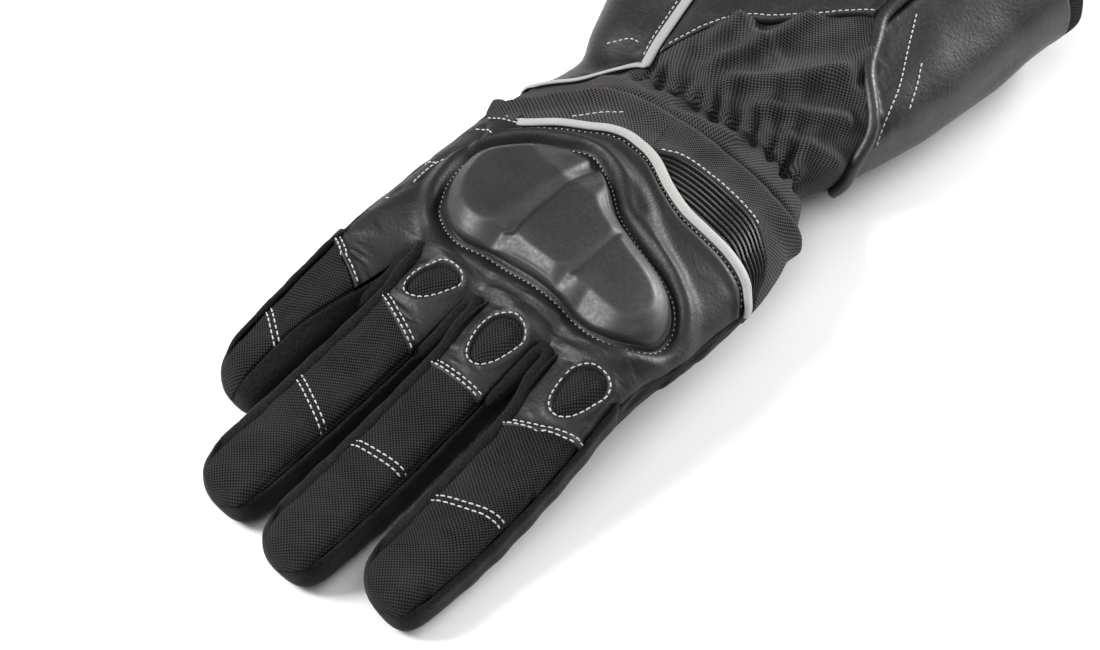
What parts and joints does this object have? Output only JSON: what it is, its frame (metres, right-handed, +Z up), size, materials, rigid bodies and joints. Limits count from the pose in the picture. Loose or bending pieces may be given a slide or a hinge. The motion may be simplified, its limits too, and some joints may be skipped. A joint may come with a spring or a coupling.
{
  "type": "motorcycle glove",
  "caption": "Right-hand winter motorcycle glove, black leather and cloth, padded knuckle guard, gauntlet cuff, lying palm down with the thumb under the palm.",
  "frame": {"origin": "on the floor, under the middle of the glove's bounding box", "axes": "+Z up from the floor, the fingers point to -Y, the cuff opens to +Y and the index finger's side is +X"},
  "size_m": [0.1252, 0.3053, 0.0471],
  "materials": {
    "leather": "satin",
    "moulded_guard": "satin",
    "softshell": "matte",
    "knit": "matte",
    "reflective": "satin",
    "ribbed_rubber": "satin"
  },
  "bodies": {
    "root": {"pinky_side_leather": "leather", "index_side_gusset": "knit", "ribbed_panel": "ribbed_rubber", "gathered_wrist": "softshell", "cuff_palm": "softshell", "cuff_side_leather": "leather", "cuff_top_leather": "leather", "cuff_index_leather": "leather", "cuff_hem": "softshell", "pinky_side_strip": "knit", "pinky_back_panel": "softshell", "ring_side_strip": "knit", "ring_back_panel": "softshell", "middle_side_strip": "knit", "middle_back_panel": "softshell", "index_side_strip": "knit", "index_back_panel": "softshell", "ring_teardrop": "softshell", "middle_teardrop": "softshell", "index_teardrop": "softshell", "back_leather": "leather", "thumb": "leather", "palm_leather": "leather", "wrist_band": "softshell", "knuckle_guard": "moulded_guard", "wrist_piping": "reflective", "cuff_v_piping": "reflective", "cuff_roll_piping": "leather"}
  },
  "joints": []
}
